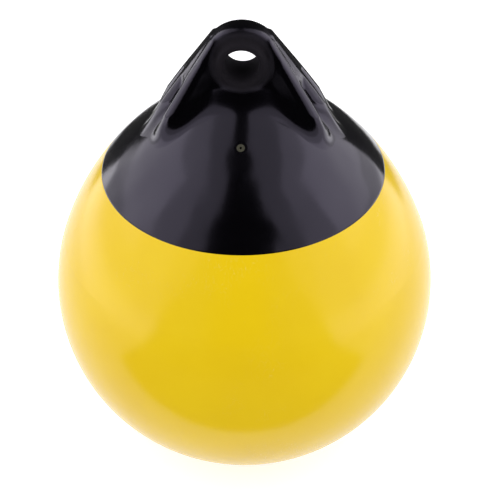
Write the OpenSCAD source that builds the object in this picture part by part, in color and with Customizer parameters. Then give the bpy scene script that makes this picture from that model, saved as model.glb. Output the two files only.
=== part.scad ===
// Round inflatable mooring buoy: a hollow vinyl ball with a dark moulded crown, a solid rope
// hold of six fingers welded on top of it, and a needle valve. Millimetres, +Z up.
// The origin is on the ball's axis, at the water's surface when it floats unladen.

/* [Ball] */
// Diameter of the inflated ball
ball_d = 292; // [260:1:330]
// Thickness of the vinyl wall
wall = 3; // [2.4:0.1:5]
// How far past the axis the shoulder's arc is centred: more makes a blunter point
shoulder_x = 70; // [60:1:78]
// How far below the ball's centre the shoulder's arc is centred
shoulder_y = 24; // [16:1:32]
// Height of the small top cap's centre above the ball's centre
cap_h = 144; // [134:1:150]
// Diameter of the seam between the bright float and the dark crown
seam_d = 214; // [190:1:230]
// Length of the welded half lap at the seam
lap = 12; // [6:0.5:20]
// Depth of the ball under water when it floats unladen
draft = 54; // [30:1:90]

/* [Rope eye] */
// Diameter of the rope eye
eye_d = 26; // [20:0.5:28]
// Height of the eye's centre above the crown's top
eye_rise = 25.5; // [24:0.5:32]
// Length of the eye through its collar
eye_l = 33; // [28:0.5:40]
// Rounding of the eye's two mouths
eye_round = 3; // [2:0.5:4]
// Outside diameter of the collar round the eye
collar_d = 37; // [33:0.5:42]
// Diameter of the round head over the eye
head_d = 56; // [52:0.5:62]
// Thickness of the head at its rim
head_t = 19; // [15:0.5:24]
// Rounding of the head's two rims
head_round = 5.5; // [2:0.5:7]
// Thickness of the web at the height of the eye
web_top_t = 24; // [22:0.5:26]
// Thickness of the web where it stands on the crown
web_foot_t = 31; // [28:0.5:34]
// Width of the web between the fingers, where it stands on the crown
web_w = 84; // [76:1:92]

/* [Fingers] */
// Slope of the fingers' crests, from the vertical
flank_a = 33.5; // [32:0.5:36]
// Angle between neighbouring fingers, seen from above
finger_a = 19.5; // [18.5:0.5:21]
// Reach of the two middle fingers from the axis
middle_reach = 78; // [74:0.5:82]
// Width of the middle fingers at their tips
middle_w = 20; // [18:0.2:21]
// Reach of the four outer fingers from the axis
outer_reach = 69; // [65:0.5:73]
// Width of the outer fingers at their tips
outer_w = 16.4; // [14.4:0.2:17.4]
// Width of every finger where it leaves the head
root_w = 9; // [8:0.2:10]
// Depth by which the fingers' round crests are pared off, to one cone
pare = 1.6; // [1:0.1:2]
// Depth of the middle fingers' tips under that cone
middle_sink = 0.6; // [0.2:0.1:1.4]
// Depth of the outer fingers' tips under that cone
outer_sink = 0.8; // [0.2:0.1:1.4]
// Radius, from the axis, out to which the fingers of one side are one mass
palm_r = 44; // [38:0.5:48]
// Depth of the creases between the fingers on that mass
crease = 0.8; // [0.4:0.1:1.5]
// Draft of the fingers' side walls
draft_a = 2; // [1:0.5:3]

/* [Valve] */
// Distance of the valve from the axis
valve_r = 49.5; // [44:0.5:58]
// Diameter of the rubber valve where it shows
valve_d = 6; // [5:0.2:9]
// Diameter of the needle's hole
needle_d = 1.8; // [1.2:0.1:2.4]
// Depth of the needle's hole, which ends in a closed lip
needle_l = 8; // [5:0.5:8]
// Diameter of the shallow dish round the valve
dish_d = 10; // [9.4:0.2:14]
// Depth of that dish
dish = 0.7; // [0.4:0.1:1.2]
// Diameter of the thick pad inside the crown that holds the valve
pad_d = 20; // [16:0.5:26]
// Thickness of that pad, past the wall
pad_t = 3; // [2:0.2:5]
// Diameter of the valve's inner flange
flange_d = 11; // [10:0.2:14]
// Thickness of that flange, which holds the needle's lip
flange_t = 4; // [3.4:0.2:6]

/* [Hidden] */
$fn = 96;

float_colour = [0.93, 0.77, 0.10];
crown_colour = [0.07, 0.07, 0.08];
valve_colour = [0.33, 0.33, 0.27];

// The outline is three arcs that run into each other: ball, shoulder and cap
ball_r = ball_d / 2;
centre_h = ball_r - draft;
shoulder_c = -[shoulder_x, shoulder_y];
shoulder_r = ball_r + norm(shoulder_c);
cap_c = [0, cap_h];
cap_r = shoulder_r - norm(cap_c - shoulder_c);
top_h = cap_h + cap_r;
beyond = 2 * shoulder_r;

// Angles on the shoulder's arc for the seam, the end of its lap, and the valve
function shoulder_angle(r) = acos((r - shoulder_c.x) / shoulder_r);
function shoulder_point(r) = [r, shoulder_c.y + shoulder_r * sin(shoulder_angle(r))];
seam_a = shoulder_angle(seam_d / 2);
lap_a = seam_a + lap / shoulder_r * 180 / PI;
valve_a = shoulder_angle(valve_r);

// Rope eye and head
eye_r = eye_d / 2;
collar_r = collar_d / 2;
head_r = head_d / 2;
eye_h = top_h + eye_rise;

// How far one form of the rope hold starts inside the next
tuck = 0.5;

// Turn of the round cutters, so that their outlines start between the two hands of fingers
cutter_turn = 60;

// Half the angle of the mass that joins one side's fingers, as a share of their angle
palm_share = 0.9;

// Fingers: their crests lie on one cone that leaves the head a little proud of it
flank_n = [cos(flank_a), sin(flank_a)];
flank_v = [sin(flank_a), -cos(flank_a)];
flank_top = [0, eye_h] + (head_r + 2 * tuck) * flank_n;
palm_a = palm_share * finger_a;
function drafted(h) = h * tan(draft_a);

// Height of the web's ends, under the fingers' crests
web_h = flank_top.y - (web_w / 2 - flank_top.x) / tan(flank_a) - root_w;

// The rope hold's pieces run down into the crown, each a step deeper, and are cut to its curve
foot_h = shoulder_point(middle_reach).y - 2 * wall;
foot_step = wall / 2;

// Columns: angle from the side of the buoy, reach, tip width, depth of the tip under the cone
finger_table = [
    [-finger_a, outer_reach, outer_w, outer_sink],
    [0, middle_reach, middle_w, middle_sink],
    [finger_a, outer_reach, outer_w, outer_sink]
];

// How far a bar's end stays inside the round tip that it runs into, as a share of its radius
blend = 0.97;

// Half section of the ball, shoulder and cap, moved inwards by inset: the shoulder's disc,
// less what lies outside the ball below one line and outside the cap above another
module ball_section(inset) {
    reach = 4;
    ball_line = -reach * shoulder_c;
    cap_line = shoulder_c + reach * (cap_c - shoulder_c);
    difference() {
        intersection() {
            translate(shoulder_c) circle(shoulder_r - inset);
            translate([0, -beyond]) square([beyond, 2 * beyond]);
        }
        difference() {
            polygon([shoulder_c, ball_line, [ball_line.x, -beyond], [shoulder_c.x, -beyond]]);
            circle(ball_r - inset);
        }
        difference() {
            polygon([shoulder_c, cap_line, [shoulder_c.x, cap_line.y]]);
            translate(cap_c) circle(cap_r - inset);
        }
    }
}

// Half section of the wall between two depths under the outside
module wall_section(outer, inner) {
    difference() {
        ball_section(outer);
        ball_section(inner);
    }
}

// Everything above a line square to the shoulder at the given angle
module above(a) {
    translate(shoulder_c)
        polygon([[0, 0], beyond * [cos(a), sin(a)], beyond * [0, 1]]);
}

// The whole ball, as the shape that is cut away under the rope hold
module ball_solid() {
    rotate([0, 0, cutter_turn]) rotate_extrude() ball_section(0);
}

// Puts the valve's axis square to the crown, with the outside of the wall at zero
module at_valve() {
    place = shoulder_point(valve_r);
    translate([0, -place.x, place.y]) rotate([90 - valve_a, 0, 0]) children();
}

// Bright hollow ball, with the inner half of the lap standing up inside the crown
module float_shell() {
    color(float_colour) translate([0, 0, centre_h]) rotate_extrude() difference() {
        wall_section(0, wall);
        above(lap_a);
        intersection() {
            wall_section(-wall, wall / 2);
            above(seam_a);
        }
    }
}

// Dark hollow crown, with the outer half of the lap, and a thick pad that holds the valve
module crown_shell() {
    color(crown_colour) translate([0, 0, centre_h]) difference() {
        union() {
            rotate_extrude() difference() {
                intersection() {
                    wall_section(0, wall);
                    above(seam_a);
                }
                difference() {
                    ball_section(wall / 2);
                    above(lap_a);
                }
            }
            at_valve() translate([0, 0, -wall - pad_t]) cylinder(d = pad_d, h = wall / 2 + pad_t);
        }
        at_valve() {
            translate([0, 0, -dish]) cylinder(d = dish_d, h = wall);
            translate([0, 0, -2 * wall - pad_t]) cylinder(d = valve_d, h = 3 * wall + pad_t);
        }
    }
}

// Cutter that rounds a square corner whose two sides run along -X and -Y
module corner_cut(r) {
    difference() {
        translate([-r, -r]) square(2 * r);
        translate([-r, -r]) circle(r);
    }
}

// Puts a shape that is drawn about Z on the eye's axis
module at_eye() {
    translate([0, 0, eye_h]) rotate([90, 0, 0]) children();
}

// Head and collar, turned about the eye's axis
module eye_head() {
    at_eye() rotate_extrude() difference() {
        union() {
            translate([0, -eye_l / 2]) square([collar_r, eye_l]);
            translate([0, -head_t / 2]) square([head_r, head_t]);
        }
        for (side = [0, 1]) mirror([0, side])
            translate([head_r, head_t / 2]) corner_cut(head_round);
    }
}

// The eye itself, with its two rounded mouths, as the shape that is cut away
module eye_cut() {
    mouth = eye_l / 2 - eye_round;
    at_eye() rotate_extrude() {
        translate([0, -eye_l]) square([eye_r, 2 * eye_l]);
        for (side = [0, 1]) mirror([0, side]) difference() {
            translate([0, mouth]) square([eye_r + eye_round, eye_l - mouth]);
            translate([eye_r + eye_round, mouth]) circle(eye_round);
        }
    }
}

// Web that carries the head on the crown: thicker at its foot, and cut to the slope of the fingers
module web() {
    foot = foot_h - foot_step;
    top_w = 2 * eye_r;
    intersection() {
        rotate([90, 0, 90]) translate([0, 0, -web_w / 2]) linear_extrude(web_w)
            polygon([
                [-web_foot_t / 2, foot], [web_foot_t / 2, foot],
                [web_top_t / 2, eye_h], [-web_top_t / 2, eye_h]
            ]);
        rotate([90, 0, 0]) translate([0, 0, -web_foot_t]) linear_extrude(2 * web_foot_t)
            polygon([
                [-web_w / 2, foot - foot_step], [web_w / 2, foot - foot_step],
                [web_w / 2, web_h], [top_w / 2, eye_h + tuck],
                [-top_w / 2, eye_h + tuck], [-web_w / 2, web_h]
            ]);
    }
}

// One finger: a round tapered bar along the flank, with drafted walls down to the given foot
module finger(reach, tip_w, sink, foot) {
    root_r = root_w / 2;
    tip_r = tip_w / 2;
    root = flank_top + (pare - root_r) * flank_n;
    crest = flank_top - (sink + tip_r) * flank_n;
    tip = crest + (reach - tip_r - crest.x) / flank_v.x * flank_v;
    bar = norm(tip - root);
    lean = atan2(tip.x - root.x, tip.y - root.y);
    translate([root.x, 0, root.y]) rotate([0, lean, 0]) rotate_extrude() intersection() {
        union() {
            circle(root_r);
            polygon([[0, 0], [blend * root_r, 0], [blend * tip_r, bar], [0, bar]]);
            translate([0, bar]) circle(tip_r);
        }
        translate([0, -root_r]) square([tip_r, bar + root_r + tip_r]);
    }
    translate([tip.x, 0, foot])
        cylinder(r1 = tip_r + drafted(tip.y - foot), r2 = blend * tip_r, h = tip.y - foot);
    wall_under(root, tip, blend * blend * root_r, blend * blend * tip_r, foot);
}

// Drafted wall between a finger's bar and its foot
module wall_under(root, tip, root_r, tip_r, foot) {
    top = [
        [root.x, -root_r, root.y], [tip.x, -tip_r, tip.y],
        [tip.x, tip_r, tip.y], [root.x, root_r, root.y]
    ];
    base = [for (p = top) [p.x, p.y + sign(p.y) * drafted(p.z - foot), foot]];
    polyhedron(
        concat(base, top),
        [[0, 1, 2, 3], [7, 6, 5, 4], [0, 4, 5, 1], [1, 5, 6, 2], [2, 6, 7, 3], [3, 7, 4, 0]]
    );
}

// The mass that joins one side's fingers near the head, a little under their crests
module palm() {
    inner = (eye_r + collar_r) / 2;
    edge = flank_top + (palm_r - flank_top.x) / flank_v.x * flank_v;
    rotate([0, 0, -palm_a]) rotate_extrude(angle = 2 * palm_a)
        polygon([
            [inner, foot_h], [palm_r, foot_h], [palm_r, edge.y - crease],
            [flank_top.x, flank_top.y - crease], [inner, eye_h]
        ]);
}

// The cone that the fingers' crests are pared to
module crest_cone() {
    top = flank_top.y + (flank_top.x - eye_r) / tan(flank_a);
    rotate([0, 0, cutter_turn]) cylinder(r1 = eye_r + top * tan(flank_a), r2 = eye_r, h = top);
}

// Solid rope hold: head, web and two hands of three fingers, seated on the crown
module rope_hold() {
    color(crown_colour) translate([0, 0, centre_h]) difference() {
        union() {
            eye_head();
            web();
            for (side = [0, 180]) rotate([0, 0, side]) palm();
            intersection() {
                crest_cone();
                for (side = [0, 180], i = [0:len(finger_table) - 1]) let (f = finger_table[i])
                    rotate([0, 0, side + f[0]]) finger(f[1], f[2], f[3], foot_h - (i + 2) * foot_step);
            }
        }
        ball_solid();
        eye_cut();
    }
}

// Rubber needle valve: its face lies in the dish, its flange grips the pad from inside
module valve_bush() {
    inside = wall + pad_t;
    color(valve_colour) translate([0, 0, centre_h]) at_valve() difference() {
        union() {
            translate([0, 0, -inside]) cylinder(d = valve_d, h = inside - dish);
            translate([0, 0, -inside - flange_t]) cylinder(d = flange_d, h = flange_t);
        }
        translate([0, 0, -dish - needle_l]) cylinder(d = needle_d, h = needle_l + dish);
    }
}

float_shell();
crown_shell();
rope_hold();
valve_bush();
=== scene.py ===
import math

import bpy
from mathutils import Matrix, Vector


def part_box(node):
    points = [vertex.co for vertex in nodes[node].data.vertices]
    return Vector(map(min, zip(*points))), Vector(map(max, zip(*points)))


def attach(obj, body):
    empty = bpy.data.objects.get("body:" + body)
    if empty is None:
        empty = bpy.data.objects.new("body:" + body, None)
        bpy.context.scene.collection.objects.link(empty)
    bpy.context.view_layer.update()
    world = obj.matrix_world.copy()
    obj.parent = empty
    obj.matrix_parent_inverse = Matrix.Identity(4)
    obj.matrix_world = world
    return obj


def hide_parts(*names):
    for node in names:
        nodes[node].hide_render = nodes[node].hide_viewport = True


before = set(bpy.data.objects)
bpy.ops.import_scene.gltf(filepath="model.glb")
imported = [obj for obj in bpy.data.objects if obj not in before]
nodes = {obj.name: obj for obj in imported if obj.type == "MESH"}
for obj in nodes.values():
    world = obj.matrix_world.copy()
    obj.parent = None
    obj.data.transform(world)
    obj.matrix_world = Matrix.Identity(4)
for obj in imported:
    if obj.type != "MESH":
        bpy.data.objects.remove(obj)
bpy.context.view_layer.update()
scene = bpy.context.scene
print("frame loaded:", ", ".join(sorted(nodes)))

# the round ball tells where everything else stands
floatLow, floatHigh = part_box("float_shell")
ballRadius = (floatHigh.x - floatLow.x) / 2
ballCentre = Vector((0, 0, floatLow.z + ballRadius))

mergeGap = 0.000005  # corners closer than this are one corner


# small helpers for working on one object at a time
def pickNone():
    bpy.ops.object.select_all(action="DESELECT")


def pickOnly(obj):
    pickNone()
    obj.select_set(True)
    bpy.context.view_layer.objects.active = obj


def editWhole(obj):
    pickOnly(obj)
    bpy.ops.object.mode_set(mode="EDIT")
    bpy.ops.mesh.select_all(action="SELECT")


def leaveEdit():
    bpy.ops.object.mode_set(mode="OBJECT")


def copyOfNode(nodeName, newName):
    obj = bpy.data.objects.new(newName, nodes[nodeName].data.copy())
    scene.collection.objects.link(obj)
    editWhole(obj)
    bpy.ops.mesh.remove_doubles(threshold=mergeGap)  # loose triangles become one skin
    leaveEdit()
    return obj


def applyModifier(obj, kind, **settings):
    pickOnly(obj)
    modifier = obj.modifiers.new(kind.title(), kind)
    for name, value in settings.items():
        setattr(modifier, name, value)
    bpy.ops.object.modifier_apply(modifier=modifier.name)


# rope hold: fingers, head and eye melted into the crown as one welded moulding
holdShape = dict(
    headRadius=0.028,  # the head is round about the eye
    voxel=0.0008,  # grid that melts the fingers and the crown together
    sink=0.0005,  # the crown used for melting lies this far under the real one
    trim=0.0003,  # what lies deeper than this is cut away again
    skirt=0.016,  # how far below the lowest finger tip the melting reaches
    smoothFactor=0.5,
    smoothPasses=32,  # rounds every edge a little
    filletNear=0.003,
    filletFar=0.012,  # only what stands closer than this to the crown gets a wide fillet
    filletPasses=900,
    rimRadius=0.0205,  # a thin ring near each rim of the collar marks what is softened
    rimAway=0.0145,  # how far along the bore each ring lies from the eye's middle
    rimWire=0.0003,
    rimSegments=64,
    wireSegments=6,
    rimNear=0.005,
    rimFar=0.0085,  # only what lies closer than this to a ring is softened
    rimPasses=120,
    swellSides=96,
    # the web's rounded swell, from its foot up: half length, half width, depth under the eye
    swellRows=((0.062, 0.0345, 0.057), (0.0388, 0.0182, 0.021), (0.028, 0.0125, 0.0145)),
)
holdLow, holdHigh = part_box("rope_hold")
eyeMiddle = Vector((0, 0, holdHigh.z - holdShape["headRadius"]))  # the head is the topmost form


def crownBody(name, depth):
    # the crown is convex, so the hull of its shell is the whole solid dome
    body = copyOfNode("crown_shell", name)
    editWhole(body)
    bpy.ops.mesh.convex_hull()
    bpy.ops.mesh.select_all(action="SELECT")
    bpy.ops.transform.shrink_fatten(value=-depth)
    leaveEdit()
    return body


def makeDome():
    dome = crownBody("meltedCrown", holdShape["sink"])
    lowest = holdLow.z - holdShape["skirt"]
    editWhole(dome)
    bpy.ops.mesh.bisect(
        plane_co=(0, 0, lowest), plane_no=(0, 0, 1), use_fill=True, clear_inner=True)
    leaveEdit()
    return dome


def makeSwell():
    rows = holdShape["swellRows"]
    footX, footY, footDepth = rows[0]
    pickNone()
    bpy.ops.mesh.primitive_circle_add(
        vertices=holdShape["swellSides"], radius=1, fill_type="NGON")
    swell = bpy.context.object
    editWhole(swell)
    bpy.ops.transform.resize(value=(footX, footY, 1))
    bpy.ops.transform.translate(value=(0, 0, eyeMiddle.z - footDepth))
    for (lowX, lowY, lowDepth), (highX, highY, highDepth) in zip(rows, rows[1:]):
        bpy.ops.mesh.extrude_region_move(
            TRANSFORM_OT_translate={"value": (0, 0, lowDepth - highDepth)})
        bpy.ops.transform.resize(value=(highX / lowX, highY / lowY, 1))
    bpy.ops.mesh.select_all(action="SELECT")
    bpy.ops.mesh.normals_make_consistent(inside=False)
    leaveEdit()
    return swell


def makeRimRings():
    pickNone()
    rings = []
    for side in (-1, 1):
        bpy.ops.mesh.primitive_torus_add(
            major_radius=holdShape["rimRadius"], minor_radius=holdShape["rimWire"],
            major_segments=holdShape["rimSegments"], minor_segments=holdShape["wireSegments"],
            location=eyeMiddle + Vector((0, side * holdShape["rimAway"], 0)),
            rotation=(math.radians(90), 0, 0))
        rings.append(bpy.context.object)
    for ring in rings:
        ring.select_set(True)
    bpy.ops.object.join()
    return bpy.context.object


def smoothNear(obj, target, near, far, passes):
    # full strength up to the near distance from the target, none past the far one
    share = "near_" + target.name
    obj.vertex_groups.new(name=share).add(range(len(obj.data.vertices)), 1.0, "REPLACE")
    applyModifier(
        obj, "VERTEX_WEIGHT_PROXIMITY", vertex_group=share, target=target,
        proximity_mode="GEOMETRY", proximity_geometry={"FACE"}, min_dist=far, max_dist=near)
    applyModifier(
        obj, "SMOOTH", vertex_group=share,
        factor=holdShape["smoothFactor"], iterations=passes)


def makeRopeHold():
    dome = makeDome()
    swell = makeSwell()
    hold = copyOfNode("rope_hold", "ropeHold")
    dome.select_set(True)
    swell.select_set(True)
    bpy.ops.object.join()
    applyModifier(hold, "REMESH", mode="VOXEL", voxel_size=holdShape["voxel"])
    applyModifier(
        hold, "SMOOTH",
        factor=holdShape["smoothFactor"], iterations=holdShape["smoothPasses"])

    # a soft collar, and wide fillets where the fingers and the web run out on the crown
    rings = makeRimRings()
    smoothNear(hold, rings, holdShape["rimNear"], holdShape["rimFar"], holdShape["rimPasses"])
    bpy.data.objects.remove(rings)
    knife = crownBody("crownKnife", holdShape["trim"])
    smoothNear(
        hold, knife, holdShape["filletNear"], holdShape["filletFar"], holdShape["filletPasses"])

    applyModifier(hold, "BOOLEAN", operation="DIFFERENCE", object=knife, solver="EXACT")
    bpy.data.objects.remove(knife)
    pickOnly(hold)
    bpy.ops.object.shade_smooth()
    print("rope hold melted:", len(hold.data.polygons), "faces")
    return hold


ropeHold = makeRopeHold()
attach(ropeHold, "root")
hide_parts("rope_hold")


# shader helpers: an input is fed by another node's output or by a plain value
def feed(tree, value, socket):
    if isinstance(value, bpy.types.NodeSocket):
        tree.links.new(value, socket)
    else:
        socket.default_value = value


def addNode(tree, kind, inputs=None, **settings):
    made = tree.nodes.new(kind)
    for name, value in settings.items():
        setattr(made, name, value)
    for name, value in (inputs or {}).items():
        feed(tree, value, made.inputs[name])
    return made


def newMaterial(name):
    material = bpy.data.materials.new(name)
    material.use_nodes = True
    tree = material.node_tree
    tree.nodes.clear()
    surface = addNode(tree, "ShaderNodeOutputMaterial").inputs["Surface"]
    return material, tree, surface


def newGroup(name, inputs, outputs, vectors=()):
    group = bpy.data.node_groups.new(name, "ShaderNodeTree")
    face = group.interface
    for label in vectors:
        face.new_socket(label, in_out="INPUT", socket_type="NodeSocketVector")
    for label in inputs:
        face.new_socket(label, in_out="INPUT", socket_type="NodeSocketFloat")
    for label in outputs:
        face.new_socket(label, in_out="OUTPUT", socket_type="NodeSocketFloat")
    enter = addNode(group, "NodeGroupInput").outputs
    leave = addNode(group, "NodeGroupOutput").inputs
    place = addNode(group, "ShaderNodeTexCoord").outputs["Object"]
    return group, enter, leave, place


def useGroup(tree, group, inputs):
    return addNode(tree, "ShaderNodeGroup", inputs, node_tree=group).outputs


def mathNode(tree, operation, *values, clamp=False):
    made = addNode(
        tree, "ShaderNodeMath", dict(enumerate(values)), operation=operation, use_clamp=clamp)
    return made.outputs[0]


def ramp(tree, value, low, high, blend="LINEAR"):
    made = addNode(
        tree, "ShaderNodeMapRange", {"Value": value, "From Min": low, "From Max": high},
        interpolation_type=blend)
    return made.outputs["Result"]


def noise(tree, place, scale, detail, roughness=0.5, distortion=0.0):
    made = addNode(tree, "ShaderNodeTexNoise", {
        "Vector": place, "Scale": scale, "Detail": detail,
        "Roughness": roughness, "Distortion": distortion})
    return made.outputs["Fac"]


def mixColours(tree, share, first, second):
    made = addNode(
        tree, "ShaderNodeMix", {"Factor": share}, data_type="RGBA", clamp_factor=True)
    firstSocket, secondSocket = [s for s in made.inputs if s.type == "RGBA"]
    feed(tree, first, firstSocket)
    feed(tree, second, secondSocket)
    return [s for s in made.outputs if s.type == "RGBA"][0]


def bump(tree, height, depth, strength=1.0, under=None, inward=False):
    made = addNode(
        tree, "ShaderNodeBump", {"Height": height, "Distance": depth, "Strength": strength},
        invert=inward)
    if under is not None:
        feed(tree, under, made.inputs["Normal"])
    return made.outputs["Normal"]


# moulded vinyl skin: long waves, orange peel, slow tone, fine scuffs and specks of dust
skinPattern = dict(
    toneScale=14.0,
    toneRange=(0.3, 0.7),
    scuffTurn=(0.5, 0.9, 0.3),
    scuffStretch=(1, 0.12, 0.5),
    hairMiddle=0.5,  # a hairline is where a stretched noise crosses its middle
    hairRange=(0.006, 0.0),
    patchScale=22.0,
    patchRange=(0.56, 0.68),  # scuffs lie in a few patches only
    speckRange=(0.09, 0.05),
    rareRange=(0.80, 0.86),  # few of the cells hold a speck
)


def makeVinylSkin():
    look = skinPattern
    group, enter, leave, place = newGroup(
        "mouldedSkin", ("Wave Scale", "Peel Scale", "Scuff Scale", "Dust Scale"),
        ("Waves", "Peel", "Tone", "Scuff", "Dust"))

    waves = noise(group, place, enter["Wave Scale"], detail=1.0, roughness=0.4)
    feed(group, waves, leave["Waves"])
    peel = noise(group, place, enter["Peel Scale"], detail=3.0, roughness=0.45)
    feed(group, peel, leave["Peel"])
    tone = noise(group, place, look["toneScale"], detail=4.0, roughness=0.55)
    feed(group, ramp(group, tone, *look["toneRange"]), leave["Tone"])

    turned = addNode(group, "ShaderNodeMapping", {
        "Vector": place, "Rotation": look["scuffTurn"], "Scale": look["scuffStretch"]})
    hair = noise(
        group, turned.outputs["Vector"], enter["Scuff Scale"], detail=2.0, distortion=0.3)
    offMiddle = mathNode(group, "SUBTRACT", hair, look["hairMiddle"])
    offMiddle = mathNode(group, "ABSOLUTE", offMiddle)
    line = ramp(group, offMiddle, *look["hairRange"])
    patch = noise(group, place, look["patchScale"], detail=2.0)
    inPatch = ramp(group, patch, *look["patchRange"])
    feed(group, mathNode(group, "MULTIPLY", line, inPatch), leave["Scuff"])

    dust = addNode(
        group, "ShaderNodeTexVoronoi", {"Vector": place, "Scale": enter["Dust Scale"]}).outputs
    speck = ramp(group, dust["Distance"], *look["speckRange"])
    rare = ramp(group, dust["Color"], *look["rareRange"])
    feed(group, mathNode(group, "MULTIPLY", speck, rare), leave["Dust"])
    return group


# weld line: a narrow ring at one height where the two colours of vinyl meet
seam = dict(
    lapDrop=0.0009,  # the hidden lip of the crown hangs this far under the seam
    halfWidth=0.0007,
    grooveDepth=0.0002,
    grooveStrength=0.6,
)
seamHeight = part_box("crown_shell")[0].z + seam["lapDrop"]


def makeWeldLine():
    group, enter, leave, place = newGroup("weldLine", ("Seam Height", "Half Width"), ("Line",))
    height = addNode(group, "ShaderNodeSeparateXYZ", {"Vector": place}).outputs["Z"]
    off = mathNode(group, "SUBTRACT", height, enter["Seam Height"])
    share = mathNode(group, "DIVIDE", mathNode(group, "ABSOLUTE", off), enter["Half Width"])
    feed(group, mathNode(group, "SUBTRACT", 1.0, share, clamp=True), leave["Line"])
    return group


# rope wear and painted reflection: a patch round the eye's middle, where a line rubs the gloss away
# and a brown tint is painted in as a reflection of the warm surroundings
wearAndPaintedReflection = dict(
    # painted reflection: this brown stands in for the warm yellow surroundings mirrored in the eye,
    # not for the vinyl's own colour
    colour=(0.0034, 0.0026, 0.0018, 1),  # dark brown
    fullRadius=0.023,
    clearRadius=0.029,
    dulling=0.8,  # added to the roughness
)


def makeRopeWearAndPaintedReflection():
    group, enter, leave, place = newGroup(
        "ropeWearAndPaintedReflection", ("Full Radius", "Clear Radius"), ("Wear And Reflection",), vectors=("Middle",))
    apart = addNode(
        group, "ShaderNodeVectorMath", {0: place, 1: enter["Middle"]}, operation="DISTANCE")
    fade = ramp(
        group, apart.outputs["Value"], enter["Clear Radius"], enter["Full Radius"], "SMOOTHSTEP")
    feed(group, fade, leave["Wear And Reflection"])
    return group


vinylSkin = makeVinylSkin()
weldLine = makeWeldLine()
ropeWearAndPaintedReflection = makeRopeWearAndPaintedReflection()

floatLook = dict(
    colour=(0.86, 0.60, 0.003, 1),
    deepColour=(0.82, 0.555, 0.002, 1),
    dustColour=(0.86, 0.70, 0.32, 1),
    sheen=(1, 1, 1, 1),
    specular=0.3,
    roughness=0.20,
    roughSpread=0.05,  # how much the roughness varies
    waveScale=16.0,
    waveDepth=0.0006,
    peelScale=420.0,
    peelDepth=0.000012,
    scuffScale=260.0,
    scuffShow=0.22,
    dustScale=420.0,
    dustShow=0.30,
    markDulling=0.8,  # scuffs and dust add this to the roughness
)
crownLook = dict(
    colour=(0.0014, 0.0012, 0.0018, 1),
    deepColour=(0.0009, 0.0008, 0.0012, 1),
    dustColour=(0.05, 0.05, 0.055, 1),
    # painted light: a lavender tint on the crown's reflections, standing in for the colour of the
    # lamps
    sheen=(0.84, 0.78, 1.0, 1),
    specular=0.5,
    roughness=0.17,
    roughSpread=0.05,
    waveScale=24.0,
    waveDepth=0.0026,
    peelScale=420.0,
    peelDepth=0.000010,
    scuffScale=260.0,
    scuffShow=0.08,
    dustScale=420.0,
    dustShow=0.30,
    markDulling=0.8,
)


def vinylMaterial(name, look):
    material, tree, surface = newMaterial(name)
    skin = useGroup(tree, vinylSkin, {
        "Wave Scale": look["waveScale"], "Peel Scale": look["peelScale"],
        "Scuff Scale": look["scuffScale"], "Dust Scale": look["dustScale"]})
    weld = useGroup(tree, weldLine, {
        "Seam Height": seamHeight, "Half Width": seam["halfWidth"]})
    rubbedAndReflected = useGroup(tree, ropeWearAndPaintedReflection, {
        "Middle": eyeMiddle,
        "Full Radius": wearAndPaintedReflection["fullRadius"], "Clear Radius": wearAndPaintedReflection["clearRadius"]})

    scuffed = mathNode(tree, "MULTIPLY", skin["Scuff"], look["scuffShow"])
    dusted = mathNode(tree, "MULTIPLY", skin["Dust"], look["dustShow"])
    marked = mathNode(tree, "MAXIMUM", scuffed, dusted)
    colour = mixColours(tree, skin["Tone"], look["colour"], look["deepColour"])
    # painted reflection: the patch round the eye is mixed towards brown, standing in for the warm
    # surroundings mirrored there
    colour = mixColours(tree, rubbedAndReflected["Wear And Reflection"], colour, wearAndPaintedReflection["colour"])
    colour = mixColours(tree, marked, colour, look["dustColour"])

    grain = mathNode(tree, "MULTIPLY", skin["Peel"], look["roughSpread"])
    rough = mathNode(tree, "ADD", grain, look["roughness"] - look["roughSpread"] / 2)
    dulled = mathNode(tree, "MULTIPLY", marked, look["markDulling"])
    rough = mathNode(tree, "ADD", rough, dulled)
    dulled = mathNode(tree, "MULTIPLY", rubbedAndReflected["Wear And Reflection"], wearAndPaintedReflection["dulling"])
    rough = mathNode(tree, "ADD", rough, dulled)

    relief = bump(tree, skin["Waves"], look["waveDepth"])
    relief = bump(tree, skin["Peel"], look["peelDepth"], under=relief)
    relief = bump(
        tree, weld["Line"], seam["grooveDepth"], seam["grooveStrength"], under=relief, inward=True)

    shader = addNode(tree, "ShaderNodeBsdfPrincipled", {
        "Base Color": colour, "Roughness": rough, "Normal": relief,
        "Specular Tint": look["sheen"], "Specular IOR Level": look["specular"]})
    feed(tree, shader.outputs[0], surface)
    return material


valveLook = dict(
    colour=(0.026, 0.025, 0.010, 1),
    wornColour=(0.050, 0.048, 0.022, 1),
    roughness=0.55,
    roughSpread=0.2,
    grainScale=1800.0,
    grainDepth=0.00002,
)


def rubberMaterial(name, look):
    material, tree, surface = newMaterial(name)
    place = addNode(tree, "ShaderNodeTexCoord").outputs["Object"]
    grain = noise(tree, place, look["grainScale"], detail=4.0)
    rough = mathNode(tree, "MULTIPLY", grain, look["roughSpread"])
    rough = mathNode(tree, "ADD", rough, look["roughness"] - look["roughSpread"] / 2)
    shader = addNode(tree, "ShaderNodeBsdfPrincipled", {
        "Base Color": mixColours(tree, grain, look["colour"], look["wornColour"]),
        "Roughness": rough, "Normal": bump(tree, grain, look["grainDepth"])})
    feed(tree, shader.outputs[0], surface)
    return material


def dress(obj, material):
    obj.data.materials.clear()
    obj.data.materials.append(material)


floatVinyl = vinylMaterial("floatVinyl", floatLook)
crownVinyl = vinylMaterial("crownVinyl", crownLook)
valveRubber = rubberMaterial("valveRubber", valveLook)
dress(nodes["float_shell"], floatVinyl)
dress(nodes["crown_shell"], crownVinyl)
dress(ropeHold, crownVinyl)
dress(nodes["valve_bush"], valveRubber)
print("finishes made:", len(bpy.data.materials))


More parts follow.
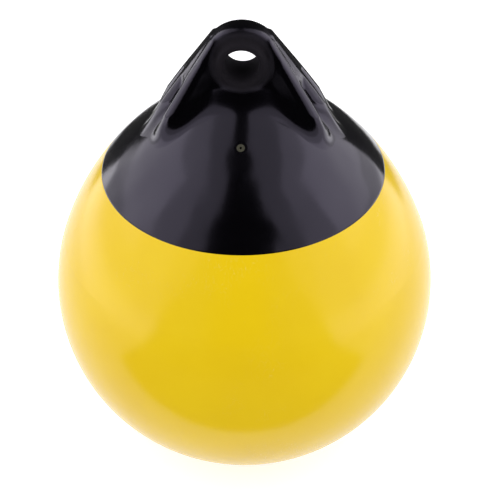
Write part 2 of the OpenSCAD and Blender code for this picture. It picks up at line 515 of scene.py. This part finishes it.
# floor: pale and matt, lifted to white for the camera but keeping the ball's shadow
floorLook = dict(
    size=16.0,
    colour=(0.8, 0.8, 0.8, 1),
    lift=0.66,  # glow that only camera, mirror and glass rays see
)


def makeFloor():
    pickNone()
    bpy.ops.mesh.primitive_plane_add(size=floorLook["size"], location=(0, 0, floatLow.z))
    floor = bpy.context.object
    floor.name = "studioFloor"
    material, tree, surface = newMaterial("paleFloor")
    matt = addNode(tree, "ShaderNodeBsdfDiffuse", {"Color": floorLook["colour"]}).outputs[0]
    path = addNode(tree, "ShaderNodeLightPath").outputs
    seen = mathNode(tree, "ADD", path["Is Camera Ray"], path["Is Glossy Ray"])
    seen = mathNode(tree, "ADD", seen, path["Is Transmission Ray"], clamp=True)
    lift = mathNode(tree, "MULTIPLY", seen, floorLook["lift"])
    glow = addNode(tree, "ShaderNodeEmission", {"Strength": lift}).outputs[0]
    both = addNode(tree, "ShaderNodeAddShader", {0: matt, 1: glow}).outputs[0]
    feed(tree, both, surface)
    dress(floor, material)


# dark tent round the table: it shows only in the skin's reflections
tentShape = dict(
    roomRadius=6.5,
    roomGlow=0.03,
    lift=0.002,  # the cloth hangs this far clear of the floor
    backAway=0.62,  # the back wall stands this far behind the axis
    backHalf=0.64,
    backHeight=0.55,
    backGlow=0.06,
    tableStart=0.185,  # the cloth on the table begins this far in front of the axis
    tableHalf=0.36,
    tableGlow=0.15,
    flagAway=0.50,  # the upright cloth stands this far in front of the axis
    flagGlow=0.0,
    # the upright cloth: height over the table and half width
    flagRows=((0.0, 0.63), (0.43, 0.3), (0.8, 0.205), (1.05, 0.16), (1.35, 0.138), (1.9, 0.165)),
)
tentFoot = floatLow.z + tentShape["lift"]


def darkCloth(glow):
    material, tree, surface = newMaterial("darkCloth")
    cloth = addNode(tree, "ShaderNodeEmission", {"Strength": glow})
    feed(tree, cloth.outputs[0], surface)
    return material


def onlyReflected(obj, name, *materials):
    obj.name = name
    dress(obj, materials[0])
    for material in materials[1:]:
        obj.data.materials.append(material)
    for ray in ("camera", "diffuse", "transmission", "volume_scatter", "shadow"):
        setattr(obj, "visible_" + ray, False)


def makeDarkRoom():
    pickNone()
    bpy.ops.mesh.primitive_uv_sphere_add(radius=tentShape["roomRadius"], location=ballCentre)
    onlyReflected(bpy.context.object, "darkRoom", darkCloth(tentShape["roomGlow"]))


def makeDarkBack():
    pickNone()
    bpy.ops.mesh.primitive_plane_add(size=2)
    back = bpy.context.object
    back.scale = (tentShape["backHalf"], tentShape["backHeight"] / 2, 1)
    back.rotation_euler = (math.radians(90), 0, 0)
    back.location = (0, tentShape["backAway"], tentFoot + tentShape["backHeight"] / 2)
    onlyReflected(back, "darkBack", darkCloth(tentShape["backGlow"]))


def makeDarkFlag():
    near, far = -tentShape["tableStart"], -tentShape["flagAway"]
    rows = tentShape["flagRows"]
    pickNone()
    bpy.ops.mesh.primitive_plane_add(size=2)
    flag = bpy.context.object
    corners = flag.data.vertices
    for corner in corners:
        atNear = corner.co.y > 0
        half = tentShape["tableHalf"] if atNear else rows[0][1]
        corner.co = (math.copysign(half, corner.co.x), near if atNear else far, tentFoot)

    # the far edge is drawn up row by row
    bpy.ops.object.mode_set(mode="EDIT")
    bpy.ops.mesh.select_mode(type="EDGE")
    bpy.ops.mesh.select_all(action="DESELECT")
    leaveEdit()
    for edge in flag.data.edges:
        edge.select = all(abs(corners[i].co.y - far) < mergeGap for i in edge.vertices)
    bpy.ops.object.mode_set(mode="EDIT")
    for (lowHeight, lowHalf), (highHeight, highHalf) in zip(rows, rows[1:]):
        bpy.ops.mesh.extrude_region_move(
            TRANSFORM_OT_translate={"value": (0, 0, highHeight - lowHeight)})
        bpy.ops.transform.resize(value=(highHalf / lowHalf, 1, 1))
    leaveEdit()
    onlyReflected(
        flag, "darkOpening",
        darkCloth(tentShape["flagGlow"]), darkCloth(tentShape["tableGlow"]))
    for face in flag.data.polygons:
        liesFlat = abs(face.normal.z) > abs(face.normal.y)
        face.material_index = int(liesFlat)


# side walls of light, brightest low down and towards the back, and an even white room
lightSetup = dict(
    roomColour=(0.98, 0.97, 1.0, 1),
    roomStrength=0.52,
    wallColour=(0.97, 0.95, 1.0),
    wallAway=0.80,  # from the axis to the outermost lamps
    gap=0.01,  # between lamps that stand one before the other
    # how far each lamp reaches to the front and back, its lower and upper edge over the floor,
    # its radiance, and whether it lights matt skin too
    walls=(
        (2.2, 0.95, 0.0, 5.2, 0.8, True),
        (0.72, 0.95, 0.0, 1.65, 0.6, False),
        (0.23, 0.95, 0.386, 1.1, 0.9, False),
    ),
)


def makeRoomLight():
    world = bpy.data.worlds.new("whiteRoom")
    scene.world = world
    world.use_nodes = True
    room = world.node_tree.nodes["Background"]
    room.inputs["Color"].default_value = lightSetup["roomColour"]
    room.inputs["Strength"].default_value = lightSetup["roomStrength"]


def makeWallLights(side, name):
    for layer, (front, back, low, high, radiance, matt) in enumerate(lightSetup["walls"]):
        away = lightSetup["wallAway"] - layer * lightSetup["gap"]
        bpy.ops.object.light_add(
            type="AREA",
            location=(side * away, (back - front) / 2, floatLow.z + (low + high) / 2))
        wall = bpy.context.object
        wall.name = name
        wall.rotation_euler = Vector((side, 0, 0)).to_track_quat("Z", "Y").to_euler()
        lamp = wall.data
        lamp.shape = "RECTANGLE"
        lamp.size = front + back
        lamp.size_y = high - low
        lamp.color = lightSetup["wallColour"]
        lamp.energy = radiance * math.pi * lamp.size * lamp.size_y  # watts that give the radiance
        wall.visible_camera = False
        wall.visible_diffuse = matt


# camera: where the photograph was taken from
cameraSetup = dict(
    azimuth=2.0,  # degrees to the right of the buoy's front
    elevation=38.63,
    distance=12.0,  # in ball radii
    focalPixels=2230.0,
    pictureSize=500.0,
    ballPixel=(244.5, 278.5),
    lean=0.64,  # degrees that the buoy leans left in the picture
    sensor=36.0,  # millimetres
)


def makeCamera():
    turn = math.radians(cameraSetup["azimuth"])
    rise = math.radians(cameraSetup["elevation"])
    lean = math.radians(cameraSetup["lean"])
    back = Vector((math.sin(turn) * math.cos(rise), -math.cos(turn) * math.cos(rise), math.sin(rise)))
    side = Vector((math.cos(turn), math.sin(turn), 0))
    up = back.cross(side)
    side, up = (
        side * math.cos(lean) - up * math.sin(lean),
        up * math.cos(lean) + side * math.sin(lean))
    distance = cameraSetup["distance"] * ballRadius
    spot = ballCentre + back * distance

    # the camera aims beside the ball, so that the ball's centre falls on its pixel
    middle = cameraSetup["pictureSize"] / 2
    metresPerPixel = distance / cameraSetup["focalPixels"]
    offX = (middle - cameraSetup["ballPixel"][0]) * metresPerPixel
    offY = (cameraSetup["ballPixel"][1] - middle) * metresPerPixel
    aim = ballCentre + side * offX + up * offY
    axisBack = (spot - aim).normalized()
    axisSide = up.cross(axisBack).normalized()
    axisUp = axisBack.cross(axisSide)
    turned = Matrix((axisSide, axisUp, axisBack)).transposed().to_4x4()
    bpy.ops.object.camera_add()
    camera = bpy.context.object
    camera.matrix_world = Matrix.Translation(spot) @ turned
    camera.data.sensor_width = cameraSetup["sensor"]
    camera.data.lens = (
        cameraSetup["focalPixels"] * cameraSetup["sensor"] / cameraSetup["pictureSize"])
    scene.camera = camera


makeFloor()
makeDarkRoom()
makeDarkBack()
makeDarkFlag()
makeRoomLight()
makeWallLights(-1, "leftWall")
makeWallLights(1, "rightWall")
makeCamera()
scene.view_settings.view_transform = "Standard"
print("studio made")
